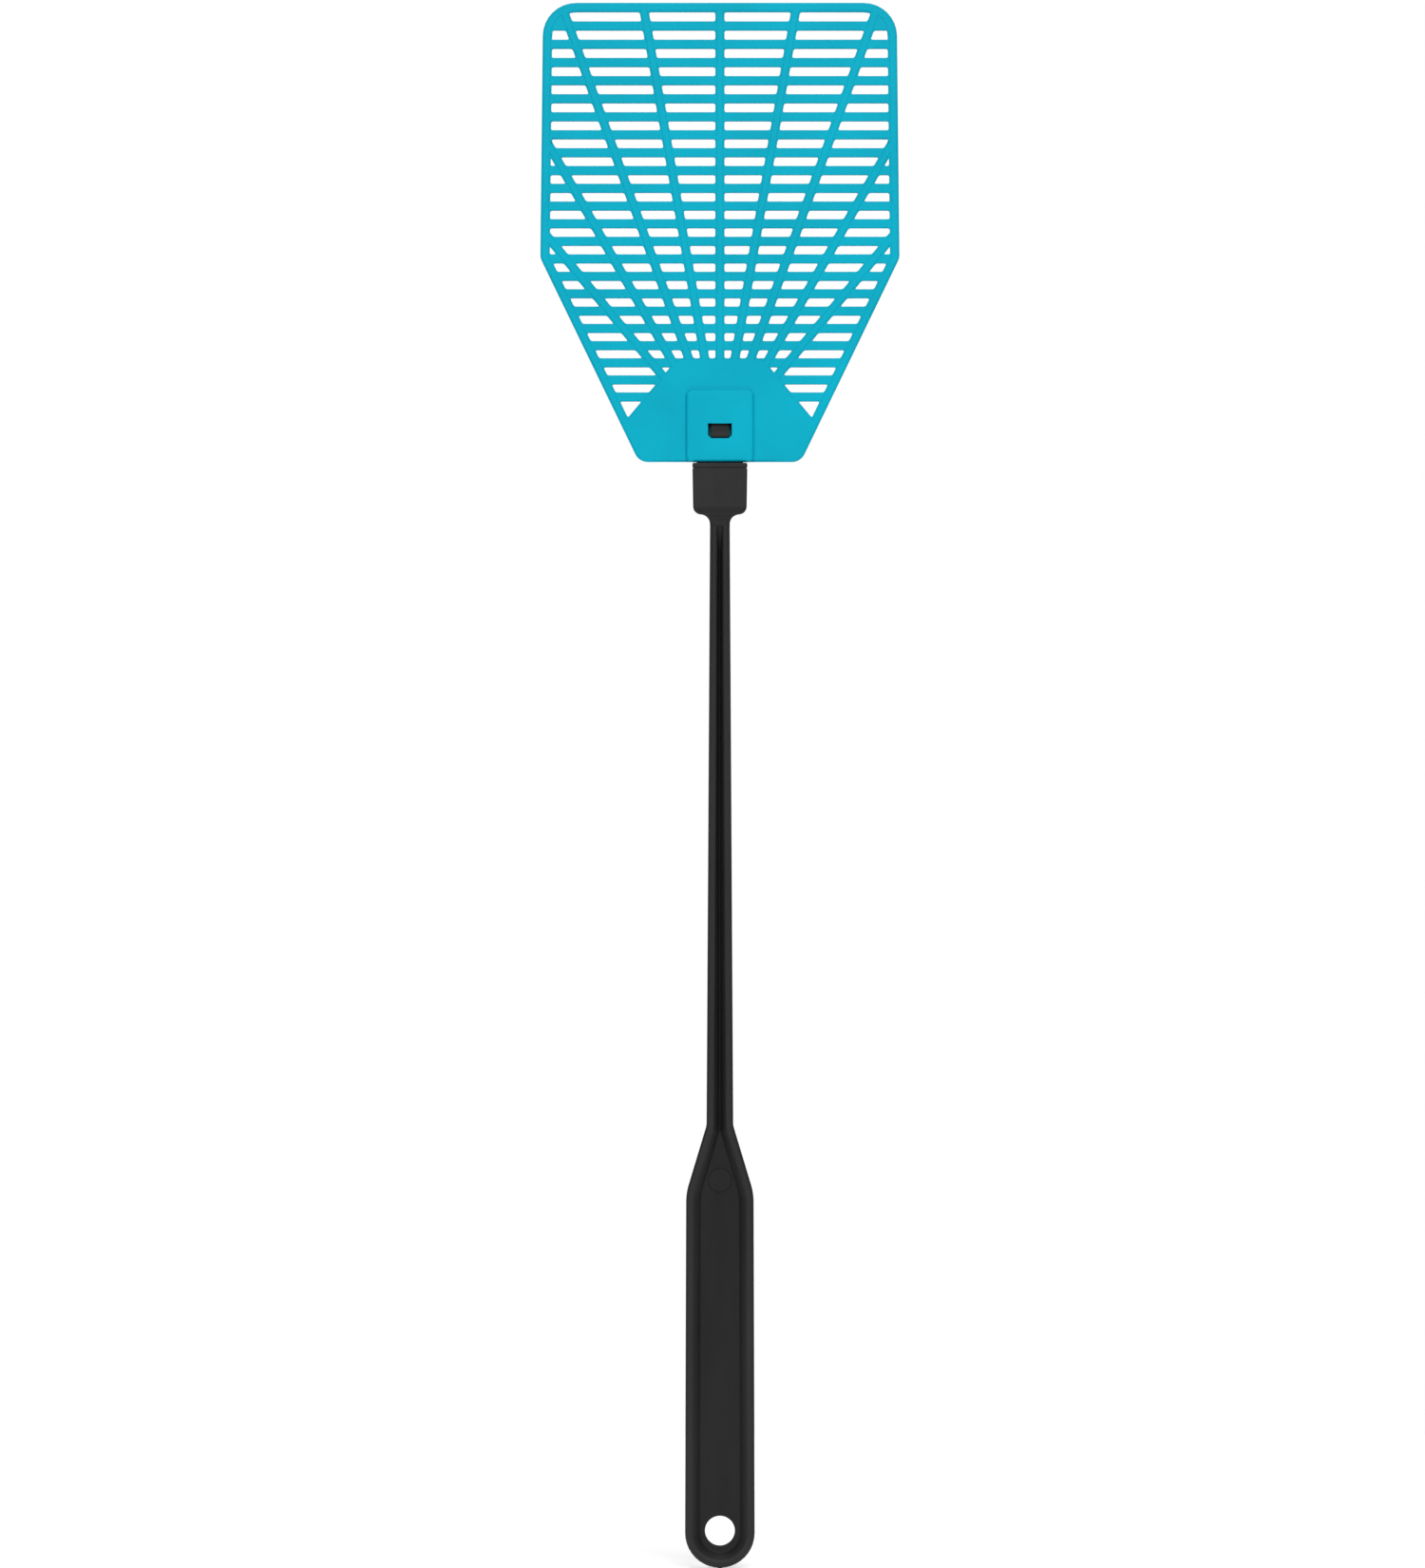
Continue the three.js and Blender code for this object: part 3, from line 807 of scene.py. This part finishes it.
def shape_hollow_floor(plan, bm, floor):
    """Slopes the grip's hollow, narrows it to a deep groove, and ramps the groove's end."""
    size = plan.size
    level = floor.verts[0].co.y
    widening = size.grip_slope - FIRST_SLOPE
    end = Vector((0, level, size.end_width / 2))
    neck_top = plan.shaft_start - 1.2 * MM
    neck_bottom = size.grip_length + 3 * MM
    for vert in floor.verts:
        place = vert.co
        if place.z < end.z:
            vert.co += (end - place).normalized() * widening
        elif place.z < (neck_bottom + neck_top) / 2:
            vert.co.x -= math.copysign(widening, place.x)
        else:
            vert.co.x = math.copysign(size.groove_floor / 2, place.x)
            if place.z > plan.collar_start - size.groove_fade:
                vert.co.z -= size.groove_fade
    for z in (neck_bottom, neck_top):
        cut_level(bm, faces_at(bm, level), z)
    for vert in bm.verts:
        if abs(vert.co.y - level) < TINY and vert.co.z > neck_top - TINY:
            vert.co.y = -size.groove_web / 2


def hole_cutter(size):
    """A spool that cuts the hanging hole and rounds its rims."""
    bm = bmesh.new()
    radius = size.hole / 2
    flare = size.hole_round
    face = size.web / 2
    profile = [(0.0, face + MM), (radius + flare, face + MM)]
    for i in range(4):
        turn = math.radians(90 - 30 * i)
        across = radius + flare * (1 - math.cos(turn))
        profile.append((across, face - flare * (1 - math.sin(turn))))
    profile += [(x, -y) for x, y in reversed(profile)]
    verts = [bm.verts.new((x, y, size.hole_height)) for x, y in profile]
    edges = [bm.edges.new(pair) for pair in zip(verts, verts[1:])]
    bmesh.ops.spin(
        bm,
        geom=verts + edges,
        cent=(0, 0, size.hole_height),
        axis=(0, 1, 0),
        angle=math.tau,
        steps=48,
        use_merge=True,
    )
    bmesh.ops.remove_doubles(bm, verts=bm.verts[:], dist=TINY)
    turn_outwards(bm)
    for made in bm.faces:
        made.smooth = True
    return object_from(bm, "hole_cutter")


def grip_and_shaft(plan):
    """The long bar: an end-to-end rim round a web, with the hanging hole."""
    size = plan.size
    bm = bmesh.new()
    flag = bm.edges.layers.int.new("flag")
    right = [
        (size.end_width / 2, 0.0, size.end_width / 2),
        (size.shoulder_width / 2, size.grip_length, size.shoulder_corner),
        (size.shaft_bottom / 2, plan.shaft_start, size.neck_corner),
        (size.shaft_top / 2, plan.collar_start - BAR_GAP, 0.0),
    ]
    sheet = outline_sheet(bm, right, -size.depth / 2, 10)
    for edge in sheet.edges:
        edge[flag] = OUTER
    inset(bm, sheet, size.rim)
    for edge in sheet.edges:
        edge[flag] = RIM_INNER
    sink = (size.depth - size.web) / 2
    inset(bm, sheet, FIRST_SLOPE, -sink)
    for edge in sheet.edges:
        edge[flag] = FLOOR
    shape_hollow_floor(plan, bm, sheet)
    for vert in bm.verts:
        up = vert.co.z - plan.shaft_start
        if up > 0 and vert.co.y < -size.depth / 2 + TINY:
            vert.co.y += (size.depth - size.shaft_depth) / 2 * up / size.shaft_length
    extrude_border(bm, 0.0)
    bm.normal_update()
    round_edges(bm, flagged(bm, RIM_INNER), size.inner_round, 3)
    round_edges(bm, flagged(bm, FLOOR), size.floor_round, 1)
    round_edges(bm, flagged(bm, OUTER), size.outer_round, 5)
    close_by_mirror(bm)
    bar = object_from(bm, "handle_moulding")
    return combine(bar, hole_cutter(size), "DIFFERENCE")


def rounded_ring(bm, half_width, half_depth, radius, z):
    """The vertices of a level rectangle with rounded corners."""
    ring = []
    for quarter, (right, back) in enumerate(((1, 1), (-1, 1), (-1, -1), (1, -1))):
        for i in range(RING_STEPS + 1):
            turn = math.radians(90) * (quarter + i / RING_STEPS)
            x = right * (half_width - radius) + radius * math.cos(turn)
            y = back * (half_depth - radius) + radius * math.sin(turn)
            ring.append(bm.verts.new((x, y, z)))
    return ring


def loft(name, sections, flat_above):
    """A closed skin over rings (half width, half depth, corner radius, height).

    The four broad sides are shaded flat above a height, and smooth below it."""
    bm = bmesh.new()
    rings = [rounded_ring(bm, *section) for section in sections]
    count = len(rings[0])
    # face by face, because bridging twists two rings of the same height
    for low, high in zip(rings, rings[1:]):
        for i in range(count):
            j = (i + 1) % count
            face = bm.faces.new((low[i], low[j], high[j], high[i]))
            broad = i % (RING_STEPS + 1) == RING_STEPS
            face.smooth = not broad or high[0].co.z < flat_above + TINY
    bm.faces.new(rings[0])
    bm.faces.new(rings[-1])
    turn_outwards(bm)
    return object_from(bm, name)


def rounded_lip(half_width, half_depth, z, radius, upward):
    """Three rings that turn from a band's side to its level face."""
    turns = (0, 45, 90) if upward else (90, 45, 0)
    rings = []
    for turn in turns:
        inward = radius * (1 - math.cos(math.radians(turn)))
        along = radius * (1 - math.sin(math.radians(turn)))
        height = z - along if upward else z + along
        corner = COLLAR_CORNER - inward / 2
        rings.append((half_width - inward, half_depth - inward, corner, height))
    return rings


def collar_side(plan):
    """Points up the collar's right side: hollow underside, lower corner."""
    size = plan.size
    start = plan.collar_start
    neck = size.shaft_top / 2 + SKIN
    foot = Vector((neck, 0, start - size.collar_flare))
    low = Vector((neck, 0, start - size.collar_flare / 6))
    corner = Vector((size.collar_bottom / 2, 0, start))
    top = Vector((size.collar_top / 2, 0, start + size.collar_length))
    underside = corner_arc(foot, low, corner, size.collar_flare * 2 / 3, 8)
    return [foot, *underside, *corner_arc(low, corner, top, size.collar_corner, 8)]


def collar(plan):
    """The collar with its hollow underside, the line round it and the stop bead."""
    size = plan.size
    side = collar_side(plan)
    half = size.collar_top / 2
    full = size.collar_depth / 2
    shaft = size.shaft_depth / 2 + SKIN
    sections = []
    for place in side:
        t = min((place.z - side[0].z) / size.collar_swell, 1.0)
        ease = t * t * (3 - 2 * t)
        depth = shaft + (full - shaft) * ease
        radius = size.outer_round + (COLLAR_CORNER - size.outer_round) * ease
        sections.append((place.x, depth, radius, place.z))
    line = size.bead_groove
    top = plan.collar_start + size.collar_length
    sections += rounded_lip(half, full, top, SMALL_ROUND, True)
    for z in (top, plan.bead_start):
        sections.append((half - line, full - line, COLLAR_CORNER / 2, z))
    sections += rounded_lip(half, full, plan.bead_start, SMALL_ROUND, False)
    sections += rounded_lip(half, full, plan.tongue_start, 2 * SMALL_ROUND, True)
    return loft("collar", sections, side[-1].z)


def tongue(plan):
    """The flat tongue, with the cut-out that the springy finger moves in."""
    size = plan.size
    bm = bmesh.new()
    half = size.tongue_width / 2
    right = [
        (half, plan.bead_start + size.bead / 2, 0.0),
        (half, TONGUE_TIP - size.tongue_chamfer, 0.0),
        (half - size.tongue_chamfer, TONGUE_TIP, 0.0),
    ]
    outline_sheet(bm, right, -size.tongue_thickness / 2, 1)
    side = size.catch_width / 2 + size.finger_slot
    low = plan.catch_face - size.finger_slot
    high = plan.catch_face + size.finger_length + size.finger_gap
    cut_frame(bm, lambda: bm.faces[:], side, low, high)
    delete_between(bm, side, low, high)
    border = open_edges(bm)
    extrude_border(bm, 0.0)
    bm.normal_update()
    round_edges(bm, border, SMALL_ROUND, 2)
    close_by_mirror(bm)
    return object_from(bm, "tongue")


def pin_pad(size):
    """The low round mark that the mould leaves on the front of the web."""
    bm = bmesh.new()
    depth = size.web / 2 + size.pin_pad_rise
    place = Matrix.Translation((0, -depth / 2, size.pin_pad_height))
    turned = place @ Matrix.Rotation(math.radians(90), 4, "X")
    radius = size.pin_pad / 2
    bmesh.ops.create_cone(
        bm, cap_ends=True, segments=40, radius1=radius, radius2=radius, depth=depth, matrix=turned
    )
    rim = [e for e in bm.edges if all(v.co.y < -depth + TINY for v in e.verts)]
    round_edges(bm, rim, FINE_ROUND, 2)
    return object_from(bm, "pin_pad")


def gate_mark(size):
    """The stub under the grip's end that is left where the plastic flowed in."""
    mark = size.gate_mark
    bm = block(mark, mark, -mark / 3, mark)
    round_edges(bm, bm.edges[:], SMALL_ROUND, 2)
    return object_from(bm, "gate_mark")


def build_handle(size):
    plan = HandlePlan(size)
    handle = grip_and_shaft(plan)
    for part in (gate_mark(size), pin_pad(size), collar(plan), tongue(plan)):
        combine(handle, part, "UNION")
    return handle


def build_latch(size):
    """The springy finger with the wedge that shows in the latch window."""
    face = -size.tongue_thickness / 2
    nose = LATCH_BOX[0].y
    root = size.finger_length + size.finger_gap + size.finger_root
    profile = (
        (face + size.finger_thickness, 0.0),
        (face + size.finger_thickness, root),
        (face, root),
        (face, size.catch_ramp),
        (nose, size.catch_ramp / 4),
        (nose, 0.0),
    )
    bm = bmesh.new()
    half = size.catch_width / 2
    side = bm.faces.new([bm.verts.new((-half, y, z)) for y, z in profile])
    far = new_verts(bmesh.ops.extrude_face_region(bm, geom=[side]))
    bmesh.ops.translate(bm, vec=(size.catch_width, 0, 0), verts=far)
    turn_outwards(bm)
    round_edges(bm, bm.edges[:], size.catch_round, 2)
    bmesh.ops.translate(bm, vec=(0, 0, LATCH_BOX[0].z), verts=bm.verts)
    return object_from(bm, "snap_catch")


# ---- materials ----
WHITE = (1.0, 1.0, 1.0)


class NodeBench:
    """Adds and links the nodes of one material."""

    def __init__(self, name):
        self.material = bpy.data.materials.new(name)
        self.material.use_nodes = True
        self.nodes = self.material.node_tree.nodes
        self.links = self.material.node_tree.links
        self.shader = self.nodes["Principled BSDF"]
        self.place = self.nodes.new("ShaderNodeTexCoord").outputs["Object"]

    def give(self, socket, value):
        """Links a socket to another, or sets its value."""
        if isinstance(value, bpy.types.NodeSocket):
            self.links.new(value, socket)
        else:
            socket.default_value = value

    def add(self, kind, inputs):
        node = self.nodes.new("ShaderNode" + kind)
        for name, value in inputs.items():
            self.give(node.inputs[name], value)
        return node

    def set(self, name, value):
        self.give(self.shader.inputs[name], value)

    def mapped(self, scale):
        return self.add("Mapping", {"Scale": scale, "Vector": self.place}).outputs["Vector"]

    def noise(self, scale, detail, vector=None):
        inputs = {"Scale": scale, "Detail": detail, "Vector": vector or self.place}
        return self.add("TexNoise", inputs).outputs["Fac"]

    def ranged(self, value, start, end, low=0.0, high=1.0):
        """Maps start..end to low..high."""
        ends = {"From Min": start, "From Max": end, "To Min": low, "To Max": high}
        return self.add("MapRange", {**ends, "Value": value}).outputs["Result"]

    def spread(self, noise, low=0.0, high=1.0):
        """Maps a noise's middle range to low..high."""
        return self.ranged(noise, 0.3, 0.7, low, high)

    def height_over_middle(self, start, end):
        """0 to 1 with the distance from the front-to-back middle plane."""
        apart = self.add("SeparateXYZ", {"Vector": self.place})
        distance = self.add("Math", {0: apart.outputs["Y"]})
        distance.operation = "ABSOLUTE"
        return self.ranged(distance.outputs["Value"], start, end)

    def tint(self, fac, dark, light):
        """Mixes two colours. Inputs 6 and 7 and output 2 are the node's colour sockets."""
        node = self.add("Mix", {6: dark, 7: light, "Factor": fac})
        node.data_type = "RGBA"
        return node.outputs[2]

    def bump(self, height, strength, distance, below=None):
        """A relief, over another one if that is given."""
        inputs = {"Strength": strength, "Distance": distance, "Height": height}
        if below:
            inputs["Normal"] = below
        return self.add("Bump", inputs).outputs["Normal"]


def shade(base, factor):
    """A darker or lighter colour, with its alpha."""
    return [min(c * factor, 1.0) for c in base] + [1.0]


def head_plastic(look):
    """Soft satin plastic: even colour with faint clouding, and a fine moulded skin."""
    bench = NodeBench("head_plastic")
    cloud = bench.spread(bench.noise(45, 3))
    bench.set("Base Color", bench.tint(cloud, shade(look.head, 0.93), shade(look.head, 1.05)))
    bench.set("Roughness", bench.spread(bench.noise(160, 4), 0.4, 0.5))
    bench.set("Specular IOR Level", 0.08)
    flow = bench.bump(bench.noise(1, 2, bench.mapped((260, 260, 60))), 0.25, 0.05 * MM)
    bench.set("Normal", bench.bump(bench.noise(2600, 2), 0.25, 0.01 * MM, flow))
    return bench.material


def handle_plastic(look):
    """Stiff black plastic: flow marks along it, a fine grain, painted shade in the hollows and
    painted highlight on the rims.
    """
    bench = NodeBench("handle_plastic")
    cloud = bench.spread(bench.noise(1, 3, bench.mapped((180, 180, 30))))
    # painted shade: a darker copy of the colour for the hollows near the middle plane
    hollow = bench.tint(cloud, shade(look.handle, 0.6), shade(look.handle, 0.85))
    # painted highlight: a lighter copy of the colour for the rims and collar, far from the middle
    # plane
    rim = bench.tint(cloud, shade(look.handle, 1.3), shade(look.handle, 1.6))
    # blends from painted shade in the hollows to painted highlight on the rims, by distance from
    # the middle plane
    painted_light_by_depth = bench.height_over_middle(1.2 * MM, 2.4 * MM)
    bench.set("Base Color", bench.tint(painted_light_by_depth, hollow, rim))
    bench.set("Roughness", bench.spread(bench.noise(200, 4), 0.42, 0.54))
    bench.set("Specular IOR Level", 0.2)
    flow = bench.bump(bench.noise(1, 2, bench.mapped((300, 300, 45))), 0.25, 0.05 * MM)
    bench.set("Normal", bench.bump(bench.noise(2200, 2), 0.3, 0.012 * MM, flow))
    return bench.material


def floor_paint():
    bench = NodeBench("studio_floor")
    mottle = bench.spread(bench.noise(3, 2))
    bench.set("Base Color", bench.tint(mottle, shade(WHITE, 0.9), shade(WHITE, 0.92)))
    bench.set("Roughness", 0.8)
    bench.set("Specular IOR Level", 0.1)
    bench.set("Emission Color", shade(WHITE, 1))
    bench.set("Emission Strength", 0.3)
    return bench.material


# ---- stage ----
CAMERA_LENS = 180.0
SENSOR = 36.0
VIEW_HEIGHT = 446.1 * MM  # of the picture, at the object's distance
VIEW_CENTRE = Vector((-2.1 * MM, 0, 166.8 * MM))
LIGHT_AIM = Vector((0, 0, 170 * MM))
FLOOR_SIZE = 0.45
SOFTBOXES = (  # name, place, width, energy
    ("key", (0.35, -1.5, 1.1), 1.0, 18),
    ("fill", (-0.8, -1.6, 0.6), 1.0, 7.5),
    ("top", (0, 0.1, 1.5), 0.8, 5),
    ("back", (0.3, 1.4, 1.2), 1.4, 18),
)


def add_camera(scene):
    data = bpy.data.cameras.new("camera")
    data.lens = CAMERA_LENS
    data.sensor_width = SENSOR
    data.clip_end = 100
    camera = bpy.data.objects.new("camera", data)
    scene.collection.objects.link(camera)
    distance = VIEW_HEIGHT * CAMERA_LENS / SENSOR
    camera.location = VIEW_CENTRE - Vector((0, distance, 0))
    camera.rotation_euler = (math.radians(90), 0, 0)
    scene.camera = camera


def add_floor():
    bm = bmesh.new()
    bmesh.ops.create_grid(bm, x_segments=2, y_segments=2, size=FLOOR_SIZE)
    bmesh.ops.translate(bm, vec=(0, 0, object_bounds()[0].z), verts=bm.verts)
    floor = object_from(bm, "floor")
    floor.data.materials.append(floor_paint())
    floor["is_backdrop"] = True


def add_softbox(scene, name, place, width, energy):
    """A square soft light that faces the object."""
    data = bpy.data.lights.new(name, "AREA")
    data.size = width
    data.energy = energy
    light = bpy.data.objects.new(name, data)
    scene.collection.objects.link(light)
    light.location = place
    aim = LIGHT_AIM - Vector(place)
    light.rotation_euler = aim.to_track_quat("-Z", "Y").to_euler()


def add_world(scene, glow):
    """White behind the object, and an even, dimmer light from all round."""
    world = bpy.data.worlds.new("studio")
    world.use_nodes = True
    nodes = world.node_tree.nodes
    links = world.node_tree.links
    soft = nodes["Background"]
    soft.inputs["Color"].default_value = shade(WHITE, 1)
    soft.inputs["Strength"].default_value = glow
    white = nodes.new("ShaderNodeBackground")
    white.inputs["Color"].default_value = shade(WHITE, 1)
    white.inputs["Strength"].default_value = 1.0
    path = nodes.new("ShaderNodeLightPath")
    mix = nodes.new("ShaderNodeMixShader")
    links.new(path.outputs["Is Camera Ray"], mix.inputs["Fac"])
    links.new(soft.outputs["Background"], mix.inputs[1])
    links.new(white.outputs["Background"], mix.inputs[2])
    links.new(mix.outputs["Shader"], nodes["World Output"].inputs["Surface"])
    scene.world = world


# ---- operators ----
class SWATTER_OT_head(bpy.types.Operator):
    """Models the perforated head with its pocket"""

    bl_idname = "swatter.head"
    bl_label = "Make head"

    def execute(self, context):
        size = context.scene.swatter_head
        head = build_head(size)
        head.data.transform(Matrix.Translation((0, 0, HEAD_START)))
        head.data.materials.clear()
        head.data.materials.append(head_plastic(context.scene.swatter_look))
        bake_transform(head)
        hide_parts("head_throat", "head_lattice")
        return {"FINISHED"}


class SWATTER_OT_handle(bpy.types.Operator):
    """Models the handle with its collar, tongue and snap catch"""

    bl_idname = "swatter.handle"
    bl_label = "Make handle and catch"

    def execute(self, context):
        size = context.scene.swatter_handle
        plastic = handle_plastic(context.scene.swatter_look)
        handle = build_handle(size)
        handle.data.transform(Matrix.Translation((0, 0, GRIP_END)))
        catch = build_latch(size)
        for piece, node, body in (
            (handle, "handle", "handle"),
            (catch, "latch_catch", "latch"),
        ):
            piece.data.materials.clear()
            piece.data.materials.append(plastic)
            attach(piece, body)
            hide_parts(node)
        return {"FINISHED"}


class SWATTER_OT_stage(bpy.types.Operator):
    """Adds the floor, the soft lights and the camera"""

    bl_idname = "swatter.stage"
    bl_label = "Make stage"

    def execute(self, context):
        scene = context.scene
        add_floor()
        for name, place, width, energy in SOFTBOXES:
            add_softbox(scene, name, place, width, energy)
        add_world(scene, glow=0.1)
        add_camera(scene)
        scene.view_settings.view_transform = "Standard"
        return {"FINISHED"}


class SWATTER_PT_panel(bpy.types.Panel):
    """Lists the steps that make the swatter"""

    bl_label = "Fly Swatter"
    bl_idname = "SWATTER_PT_panel"
    bl_space_type = "VIEW_3D"
    bl_region_type = "UI"
    bl_category = "Swatter"

    def draw(self, context):
        layout = self.layout
        for operator in STEPS:
            layout.operator(operator.bl_idname)
        for group in ("swatter_head", "swatter_handle", "swatter_look"):
            values = getattr(context.scene, group)
            box = layout.box()
            for name in values.__annotations__:
                box.prop(values, name)


STEPS = (SWATTER_OT_head, SWATTER_OT_handle, SWATTER_OT_stage)
CLASSES = (SwatterHeadSizes, SwatterHandleSizes, SwatterLook, *STEPS, SWATTER_PT_panel)


def register():
    for cls in CLASSES:
        bpy.utils.register_class(cls)
    bpy.types.Scene.swatter_head = PointerProperty(type=SwatterHeadSizes)
    bpy.types.Scene.swatter_handle = PointerProperty(type=SwatterHandleSizes)
    bpy.types.Scene.swatter_look = PointerProperty(type=SwatterLook)


def unregister():
    del bpy.types.Scene.swatter_look
    del bpy.types.Scene.swatter_handle
    del bpy.types.Scene.swatter_head
    for cls in reversed(CLASSES):
        bpy.utils.unregister_class(cls)


def main():
    register()
    bpy.ops.swatter.head()
    bpy.ops.swatter.handle()
    bpy.ops.swatter.stage()


if __name__ == "__main__":
    main()
